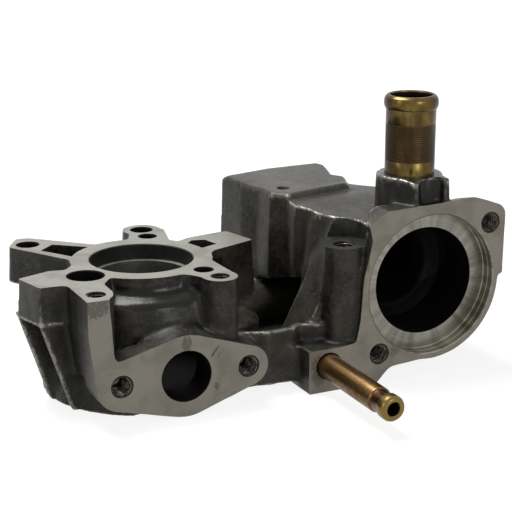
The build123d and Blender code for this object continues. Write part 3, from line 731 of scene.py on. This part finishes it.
# %% Taps and drills
def tap(centre, axis, radius, thread_depth, thread_pitch, threaded, drilled):
    """Threaded rod that starts above the face and ends with a plain drill point."""
    steps, per_turn, above, lead_in = 32, 6, 1.2, 0.4
    core_r = radius - thread_depth
    along, middle = Vector(axis), Vector(centre)
    side = along.orthogonal().normalized()
    other = along.cross(side)
    row_count = int((threaded + above) * per_turn / thread_pitch)
    rows = [above - thread_pitch / per_turn * row for row in range(row_count)]
    mesh = bmesh.new()
    rings = []
    for height in rows + [-threaded - 0.2, -drilled]:
        ring = []
        for step in range(steps):
            turn = step / steps
            phase = (height / thread_pitch + turn) % 1.0
            ridge = min(1.0, max(0.0, 1.5 - abs(phase - 0.5) * 4.0))
            size = radius - thread_depth * (1 - ridge) if height >= -threaded else core_r
            lead = min(1, max(0.0, 1.0 + height / lead_in)) if height > -lead_in else 0.0
            size = size * (1 - lead) + (radius + 0.2) * lead
            angle = math.tau * turn
            reach = (side * math.cos(angle) + other * math.sin(angle)) * size
            ring.append(mesh.verts.new((middle + along * height + reach) * MM))
        rings.append(ring)
    for upper, lower in zip(rings, rings[1:]):
        for step in range(steps):
            after = (step + 1) % steps
            mesh.faces.new((upper[step], upper[after], lower[after], lower[step]))
    tip = mesh.verts.new((middle - along * (drilled + core_r * 0.6)) * MM)
    for step in range(steps):
        mesh.faces.new((rings[-1][step], rings[-1][(step + 1) % steps], tip))
    mesh.faces.new(list(reversed(rings[0])))
    bmesh.ops.triangulate(mesh, faces=mesh.faces)
    bmesh.ops.recalc_face_normals(mesh, faces=mesh.faces)
    return keep("tap", mesh)


def drill(name, radius, centre, depth, bevel=0.4, top=3.0):
    """Plain upright hole with a small countersink at the face."""
    outline = [(0, -depth), (radius, -depth), (radius, -bevel)]
    outline += [(radius + bevel, 0), (radius + bevel, top), (0, top)]
    return lathe(name, outline, centre, UP, 48)


# %% Face mill
recess_r, recess_place = 10.2, (68.1, -30.7, sensor_top)
recess_height, recess_flare = 16, 0.3
recess_outline = [(0, 0), (recess_r, 0), (recess_r + recess_flare, recess_height), (0, recess_height)]
top_slab = joined("top_slab", [
    block("pump_slab", (-70, front_y - 6, 0), (pump_side_end, 60, 8)),
    lathe("sensor_face", recess_outline, recess_place, UP, 96),
])
front_slab = block("front_slab", (-90, front_y - 12, base_z - 12), (170, front_y, 60))
print("faces of the slabs:", len(top_slab.data.polygons), len(front_slab.data.polygons))

# %% Boring bars, drills and taps
pump_step, pump_depth, lower_r = 6, 14, pump_r - 2.2
seat_depth, chamber_r, chamber_cone_r, groove = 6.3, 20.8, 18.8, 0.25
pipe_bore_r, pipe_mouth_r = 4.66, 5.3
block_top, dimple, dimple_r = 17.5, (65.3, 12.5), 2.7
pump_outline = [
    (0, -pump_depth), (lower_r, -pump_depth), (lower_r, -pump_step), (pump_r, -pump_step), (pump_r, -0.35),
    (pump_r + 0.35, 0), (pump_r + 0.35, 4), (0, 4),
]
port_outline = [(0, -14), (port_r, -14), (port_r, -0.3), (port_r + 0.3, 0), (port_r + 0.3, 4), (0, 4)]
chamber_outline = [
    (0, -30), (chamber_cone_r, -30), (chamber_r, -28), (chamber_r, -6.5), (chamber_r + 0.2, -seat_depth),
    (counterbore_r - 0.3, -seat_depth), (counterbore_r, -6.0), (counterbore_r, -3.3),
    (counterbore_r + groove, -3.1), (counterbore_r, -2.9), (counterbore_r, -0.4), (counterbore_r + 0.4, 0),
    (counterbore_r + 0.4, 4), (0, 4),
]
pipe_outline = [
    (0, -14), (pipe_bore_r, -14), (pipe_bore_r, -1.2), (pipe_mouth_r, -1.2), (pipe_mouth_r, 4), (0, 4),
]
bars = [
    lathe("pump_bar", pump_outline, (0, 0, 0), UP, 128),
    lathe("port_bar", port_outline, (0, front_y, port_z), TO_FRONT, 96),
    lathe("chamber_bar", chamber_outline, (chamber_x, front_y, chamber_z), TO_FRONT, 160),
    lathe("spigot_bar", [(0, 17.5), (9.5, 17.5), (9.5, 31), (0, 31)], (spigot_x, spigot_y, 0), UP, 96),
    lathe("pipe_bar", pipe_outline, (pipe_x, front_y, pipe_z), TO_FRONT, 48),
]
for name in plain_holes:
    x, y, _ = place_of(name)
    depth = mounts[name]["dims"]["length_mm"]
    past = 4.0 if depth > 13 else 0.0
    bars.append(drill(name, radius_of(name), (x, y, 0), depth + past))
for name in tapped_holes:
    x, y, _ = place_of(name)
    bars.append(tap((x, y, 0), UP, radius_of(name), 0.45, 1.25, 9.0, 21.0))
for x, z in flange_holes:
    bars.append(tap((x, front_y, z), TO_FRONT, flange_hole_r, 0.7, 1.25, 9.5, 11.0))
bars.append(tap((sensor_x, sensor_y, sensor_top), UP, sensor_hole_r, 0.5, 1.0, 7.0, 22.0))
bars += [prism("pocket_cutter", corners, pocket_floor, 4.0) for corners in pockets]
dimple_outline = [(0, -1.3), (1.8, -1.3), (2.4, -0.4), (dimple_r, 1.5), (0, 1.5)]
bars.append(lathe("dimple", dimple_outline, (*dimple, block_top), UP, 32))
bore_cutter = joined("bore_cutter", bars)
print("triangles in the cutters:", triangles_of(bore_cutter.data))

# %% Machine the casting
for cutter in (front_slab, top_slab, bore_cutter):
    cut = casting.modifiers.new(cutter.name, "BOOLEAN")
    cut.operation = "DIFFERENCE"
    cut.solver = "MANIFOLD"
    cut.object = cutter
print("triangles after machining:", settle(casting))
for cutter in (front_slab, top_slab, bore_cutter):
    bpy.data.objects.remove(cutter)

# %% [markdown]
# The mesh now carries four layers of values for the finishes. Each point takes its edge value, for
# wear and painted highlight, and its hollow, for painted shade, from the nearest point of the skin
# before it was thinned. The parting ridge is rubbed too, the pockets get painted shade all over, and
# the bowl and the boss are less sandy than the rest. The layer crest is 1 where a thread comes closest
# to its screw.


# %% Layers for wear and highlight, painted shade, sand and threads
def mark(mesh, name, values):
    """Stores a value from 0 to 1 at each point of a mesh."""
    layer = mesh.attributes.new(name, "FLOAT", "POINT")
    layer.data.foreach_set("value", np.clip(values, 0, 1).astype(np.float32))


spots = points_of(casting.data)
nearest = [dense_points.find(point)[1] for point in spots]
x, y, z = spots.T
bowl = (np.hypot(x, y) < 33) & (z < -3) & (y > front_y + 1)
boss = (np.hypot(x - spigot_x, y - spigot_y) < 17) & (z > 14)
in_pocket = np.zeros(len(spots), bool)
for corners in pockets:
    middle = np.mean(corners, axis=0)
    size = np.max(np.linalg.norm(np.array(corners) - middle, axis=1)) + 0.3
    in_pocket |= (np.linalg.norm(spots[:, :2] - middle, axis=1) < size) & (z < -0.2)
    in_pocket &= z > pocket_floor - 0.2
on_parting = (np.abs(z - parting_z) < 0.9) & on_left_arm(x, y)
# Edge layer: rubbing wear and painted highlight on outer edges.
mark(casting.data, "wear", np.maximum((edge_proud[nearest] - proud_edge) / 0.15, on_parting * 0.7))
# Hollow layer: where painted shade goes, all over in the pockets.
mark(casting.data, "hollow", np.where(in_pocket, 1.0, (hollow_bend - wide_bend[nearest]) / 0.020))
mark(casting.data, "sandy", np.where(bowl, 0.0, np.where(boss, 0.25, 1.0)))
threads = [((hole_x, front_y, hole_z), (0, 2), flange_hole_r, 0.7) for hole_x, hole_z in flange_holes]
threads += [(place_of(name), (0, 1), radius_of(name), 0.5) for name in (*tapped_holes, "sensor_hole")]
crests = np.zeros(len(spots))
for centre, axes, radius, thread_depth in threads:
    ring = np.hypot(*(spots[:, axis] - centre[axis] for axis in axes))
    crests = np.where(ring < radius + 0.1, np.clip((radius - ring) / thread_depth, 0, 1), crests)
mark(casting.data, "crest", crests)
print("points in bowl, boss and pockets:", bowl.sum(), boss.sum(), in_pocket.sum())

# %% [markdown]
# A face is known by its place: whatever lies in the plane of the mill was milled, and whatever lies
# on a bore's radius was turned. The rest is still cast. The rules run in order, so a later one wins.

# %% Give each face its finish
TOP, FRONT, SEAT, RIM, LEDGE, WALL, LOWER, INSIDE, THREAD = range(1, 10)
faces = casting.data.polygons
centres = np.empty(len(faces) * 3)
faces.foreach_get("center", centres)
x, y, z = centres.reshape(-1, 3).T / MM
normals = np.empty(len(faces) * 3)
faces.foreach_get("normal", normals)
normal_x, normal_y, normal_z = normals.reshape(-1, 3).T
depth = y - front_y
pump_ring, port_ring = np.hypot(x, y), np.hypot(x, z - port_z)
chamber_ring = np.hypot(x - chamber_x, z - chamber_z)
recess_ring = np.hypot(x - recess_place[0], y - recess_place[1])
dimple_ring = np.hypot(x - dimple[0], y - dimple[1])
to_pump_axis = normal_x * x + normal_y * y < 0
to_chamber_axis = normal_x * (x - chamber_x) + normal_z * (z - chamber_z) < 0


def between(value, low, high):
    return (value > low) & (value < high)


def at(value, level):
    """True on a level, to a hundredth of a millimetre."""
    return np.abs(value - level) < 0.01


in_pump, in_recess = pump_ring < pump_r + 0.4, recess_ring < recess_r + 0.32
in_counterbore = chamber_ring < counterbore_r + 0.45
rules = [
    # The inside faces take the near-black painted shade.
    (INSIDE, (pump_ring < 34.5) & between(z, -43.5, -12.0) & (to_pump_axis | (pump_ring < 30))),
    (INSIDE, (port_ring < port_r + 1.0) & between(depth, 0.001, 24)),
    (INSIDE, (chamber_ring < 21.5) & between(depth, 6.35, 60) & (to_chamber_axis | (depth < 32))),
    (INSIDE, (np.hypot(x - spigot_x, y - spigot_y) < 9.45) & between(z, -12, 28.2)),
    (TOP, at(z, 0) & (normal_z > 0.9) & (x < pump_side_end)),
    # The wall faces, in the pump bore, the sensor recess and the dimple, take the near-black painted shade.
    (WALL, in_recess & at(z, sensor_top)),
    (WALL, (dimple_ring < dimple_r) & between(z, block_top - 1.5, block_top - 0.05)),
    (WALL, in_recess & between(z, sensor_top + 0.01, 14) & (np.abs(normal_z) < 0.1)),
    (FRONT, at(depth, 0) & (normal_y < -0.9)),
    (WALL, in_pump & between(z, -pump_step - 0.05, -0.001)),
    (LEDGE, in_pump & at(z, -pump_step)),
    (LOWER, (pump_ring < pump_r - 2.1) & between(z, -pump_depth - 0.05, -pump_step - 0.05)),
    (RIM, in_counterbore & between(depth, 0.001, seat_depth + 0.05)),
    (SEAT, in_counterbore & between(depth, seat_depth - 0.02, seat_depth + 0.05)),
]
for hole_x, hole_z in flange_holes:
    in_hole = np.hypot(x - hole_x, z - hole_z) < flange_plug_r
    rules.append((THREAD, in_hole & between(depth, 0.001, 13.5)))
for name in (*tapped_holes, *plain_holes, "sensor_hole"):
    hole_x, hole_y, _ = place_of(name)
    top = sensor_top if name == "sensor_hole" else 0.0
    in_hole = np.hypot(x - hole_x, y - hole_y) < radius_of(name) + 0.45
    kind = THREAD if mounts[name]["kind"] == "threaded_hole" else INSIDE
    rules.append((kind, in_hole & between(z, top - 26, top - 0.001)))
finish = np.zeros(len(faces), np.int32)
for kind, chosen in rules:
    finish[chosen] = kind
casting.data.materials.clear()
for material in (cast_skin, milled_top, milled_front, turned_seat, rim_wall, pump_ledge, bore_wall,
                 lower_wall, inside_dark, thread_metal):
    casting.data.materials.append(material)
faces.foreach_set("material_index", finish)
faces.foreach_set("use_smooth", finish != THREAD)
casting.data.set_sharp_from_angle(angle=math.radians(36))
print("faces of each finish:", np.bincount(finish).tolist())
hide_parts("housing_casting")
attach(casting, "root")

# %% [markdown]
# The hose spigot is drawn tube with a rolled bead at its mouth and a band of fine grooves that grips
# the hose. Its yellow chromate has turned olive and brown, most of all in the grooves, and its flanks,
# as the camera sees them, are painted dark as a reflection. The slim pipe is copper-toned, with a
# darker turned neck and a golden nose. A tube is a turned shape, so its outline is written down once
# and spun. Each groove is real relief.

# %% Tube finishes
spigot_r, spigot_bore, boss_top = 9.5, 8.25, 28.5
pipe_r, pipe_bore, pipe_out, pipe_in = 4.75, 2.5, 47.4, -14.0


def plated_finish():
    material, place = start_finish("yellow_chromate")
    up = level_of(place, "Z")
    band = soft_step(up, 33.3, 34.1) * (1 - soft_step(up, 47.2, 48.4))
    cloud = soft_step(grain(place, 5, 3, 0.55, 0.5, (1, 1, 0.5)), 0.35, 0.68)
    streak = soft_step(grain(place, 2.4, 3, 0.6, 0.2, (1, 1, 0.12)), 0.44, 0.66)
    off = place.vector("SUBTRACT", place, (spigot_x, spigot_y, 0))
    across = off.vector("DOT_PRODUCT", off, (0.0951, -0.0453, 0), out="Value")
    # The flanks across the camera's view get a painted dark reflection.
    flank_dark_reflection = soft_step(across * across, 0.24, 0.85)
    drip = spot(place, (95.3, -34.6, 30.6), (1.0, 2.0, 2.6))
    # More painted dark reflection low on the left flank.
    left_flank_dark_reflection = spot(place, (90.6, -28.5, 30.0), (3.6, 5.0, 5.0), 0, 0.45)
    colour = blend((0.150, 0.106, 0.027, 1), (0.080, 0.051, 0.014, 1), cloud)
    colour = blend(colour, (0.060, 0.022, 0.011, 1), streak * 0.45)
    colour = blend(colour, (0.034, 0.014, 0.008, 1), flank_dark_reflection * 0.85)
    colour = blend(colour, (0.030, 0.0165, 0.007, 1), band * (0.92 - 0.16 * streak))
    colour = blend(colour, (0.012, 0.009, 0.006, 1), drip * 0.8)
    colour = blend(colour, (0.040, 0.024, 0.007, 1), left_flank_dark_reflection * 0.8)
    roughness = 0.24 + 0.12 * cloud + 0.14 * band
    return metal(material, place, colour, roughness, 0.85, 0.012 * grain(place, 0.8, 2))


def copper_finish():
    material, place = start_finish("drawn_copper")
    out = front_y - level_of(place, "Y")
    gold = soft_step(out, 42.4, 43.6)
    neck = soft_step(out, 37.2, 37.8) * (1 - soft_step(out, 42.6, 43.2))
    cloud = soft_step(grain(place, 6, 3, 0.55, 0.4, (1, 0.4, 1)), 0.35, 0.70)
    fleck = soft_step(grain(place, 1.2, 3, 0.6), 0.50, 0.66)
    colour = blend((0.175, 0.098, 0.034, 1), (0.080, 0.040, 0.014, 1), cloud)
    colour = blend(colour, (0.26, 0.17, 0.055, 1), fleck * 0.35)
    colour = blend(colour, (0.200, 0.140, 0.040, 1), gold * 0.75)
    colour = blend(colour, (0.055, 0.022, 0.010, 1), neck * 0.75)
    return metal(material, place, colour, 0.26 + 0.14 * cloud, 0.85, 0.012 * grain(place, 0.8, 2))


yellow_chromate, drawn_copper = plated_finish(), copper_finish()
print("tube finishes:", yellow_chromate.name, drawn_copper.name)


# %% Helper for tubes
def dress_tube(tube, outer_finish, is_inside, sharp_angle):
    """Gives a tube its outer finish and an inside of near-black painted shade, and shades it smooth up to an
    angle.
    """
    tube.data.materials.append(outer_finish)
    tube.data.materials.append(inside_dark)
    for face in tube.data.polygons:
        face.material_index = int(is_inside(face.center / MM))
    tube.data.polygons.foreach_set("use_smooth", np.ones(len(tube.data.polygons), bool))
    tube.data.set_sharp_from_angle(angle=math.radians(sharp_angle))


# %% Hose spigot
tube_out, bead_start, bead_length, bead_out, tube_in = 30.0, 24.8, 4.6, 0.8, -10.0
band_low, band_high, groove_pitch, groove_depth, bead_steps = 5.2, 19.2, 0.8, 0.16, 12
press_r, groove_r = spigot_r - 0.1, spigot_r - groove_depth
outline = [(spigot_bore, tube_in), (press_r, tube_in), (press_r, 0), (spigot_r, 0)]
for index in range(round((band_high - band_low) / groove_pitch)):
    low_edge = band_low + index * groove_pitch
    outline += [(spigot_r, low_edge), (groove_r, low_edge + 0.2)]
    outline += [(groove_r, low_edge + 0.4), (spigot_r, low_edge + 0.6)]
outline += [(spigot_r, bead_start)]
for index in range(1, bead_steps):
    turn = math.pi * index / bead_steps
    swell = math.sin(turn) * bead_out
    outline.append((spigot_r + swell, bead_start + bead_length * (1 - math.cos(turn)) / 2))
outline += [
    (spigot_r, tube_out - 0.6), (spigot_r - 0.25, tube_out - 0.15), (spigot_r - 0.7, tube_out),
    (spigot_bore, tube_out), (spigot_bore - 0.3, tube_out - 0.6), (spigot_bore, tube_out - 2.6),
]


def in_spigot(place):
    from_axis = math.hypot(place.x - spigot_x, place.y - spigot_y)
    return from_axis < spigot_bore + 0.2 and place.z < boss_top + tube_out - 1.4


spigot = lathe("plated_spigot", outline, (spigot_x, spigot_y, boss_top), UP, 96)
dress_tube(spigot, yellow_chromate, in_spigot, 50)
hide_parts("hose_spigot")
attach(spigot, "root")
print("spigot faces:", len(spigot.data.polygons))

# %% Slim pipe
neck_r, neck_start, bead_low, nose_start = 4.2, 37.4, 43.0, 46.4
outline = [
    (pipe_bore, pipe_in), (pipe_r - 0.1, pipe_in), (pipe_r - 0.1, -1.2), (pipe_r, -1.2),
    (pipe_r, neck_start - 0.3), (pipe_r - 0.1, neck_start), (neck_r + 0.06, neck_start + 0.35),
    (neck_r, neck_start + 0.6), (neck_r, bead_low - 0.7), (neck_r + 0.06, bead_low - 0.45),
    (pipe_r - 0.08, bead_low - 0.1), (pipe_r, bead_low + 0.15), (pipe_r, nose_start - 0.3),
    (pipe_r - 0.1, nose_start), (pipe_r - 0.65, pipe_out - 0.2), (pipe_r - 0.9, pipe_out),
    (pipe_bore + 0.35, pipe_out), (pipe_bore, pipe_out - 0.4),
]


def in_pipe(place):
    from_axis = math.hypot(place.x - pipe_x, place.z - pipe_z)
    return from_axis < pipe_bore + 0.1 and place.y > front_y - pipe_out + 0.8


pipe = lathe("slim_pipe", outline, (pipe_x, front_y, pipe_z), TO_FRONT, 64)
dress_tube(pipe, drawn_copper, in_pipe, 40)
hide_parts("bypass_pipe")
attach(pipe, "root")
print("pipe faces:", len(pipe.data.polygons))

# %% [markdown]
# The photograph is a catalogue shot on white, lit from above. The camera and every reflection see a
# white floor and a white world, but both give off little light of their own, so the metal keeps its
# darks. The floor glows a little less near the part, so that its shadow shows.


# %% Seen by the camera or in a reflection
def seen_bright(tree):
    """1 for rays from the camera, a reflection or glass, and 0 for light that only bounces."""
    path = tree.nodes.new("ShaderNodeLightPath")
    kinds = ("Is Camera Ray", "Is Glossy Ray", "Is Transmission Ray")
    rays = [Wire(tree, path.outputs[name]) for name in kinds]
    return rays[0].math("MINIMUM", rays[0] + rays[1] + rays[2], 1.0)


# %% Floor
near_glow, more_glow, fade_start, fade_end = 0.86, 0.18, 0.15, 0.90
floor_mesh = bmesh.new()
bmesh.ops.create_grid(floor_mesh, x_segments=1, y_segments=1, size=3.0)
floor = keep("studio_floor", floor_mesh)
floor.location = (0, 0, base_z * MM)
paper = bpy.data.materials.new("studio_paper")
paper.use_nodes = True
paper.node_tree.nodes.clear()
sheet = Wire(paper.node_tree)
matt = sheet.node("ShaderNodeBsdfDiffuse", {"Color": (0.30, 0.30, 0.30, 1)})
from_middle = sheet.node("ShaderNodeTexCoord", {}, out="Object")
fade = soft_step(from_middle.vector("LENGTH", from_middle, out="Value"), fade_start, fade_end)
glow = sheet.node("ShaderNodeEmission", {"Color": (1, 1, 1, 1), "Strength": near_glow + more_glow * fade})
white = sheet.node("ShaderNodeAddShader", {0: matt, 1: glow})
shown = sheet.node("ShaderNodeMixShader", {0: seen_bright(paper.node_tree), 1: matt, 2: white})
sheet.node("ShaderNodeOutputMaterial", {"Surface": shown})
floor.data.materials.append(paper)
print("floor at, mm:", round(base_z, 2))

# %% World
world = bpy.data.worlds.new("studio")
bpy.context.scene.world = world
world.use_nodes = True
world.node_tree.nodes.clear()
sky = Wire(world.node_tree)
backdrop = sky.node("ShaderNodeBackground", {
    "Color": (1, 1, 1, 1), "Strength": 0.10 + 0.90 * seen_bright(world.node_tree),
})
sky.node("ShaderNodeOutputWorld", {"Surface": backdrop})
print("world:", world.name)

# %% [markdown]
# One lamp above and behind the part makes its pale top faces and the highlights on the bowl and hood.
# A weak one on the left picks out the walls that face it, and one at the front right lifts the
# flanges. All are kept low enough that the milled faces stay grey, from the top too.


# %% Lamps
def softbox(name, place, aim, size, power):
    """Square lamp that faces a point."""
    lamp = bpy.data.lights.new(name, "AREA")
    lamp.shape = "SQUARE"
    lamp.size = size
    lamp.energy = power
    made = bpy.data.objects.new(name, lamp)
    made.location = place
    made.rotation_euler = (Vector(aim) - Vector(place)).to_track_quat("-Z", "Y").to_euler()
    bpy.context.scene.collection.objects.link(made)


middle_of_part = (0.03, 0, 0)
softbox("overhead", (-0.08, 0.24, 0.70), middle_of_part, 0.36, 6.0)
softbox("left_side", (-0.80, -0.15, 0.38), middle_of_part, 0.30, 0.8)
softbox("front_fill", (0.22, -0.98, 0.35), middle_of_part, 0.30, 2.5)
print("lamps:", [lamp.name for lamp in bpy.data.lights])
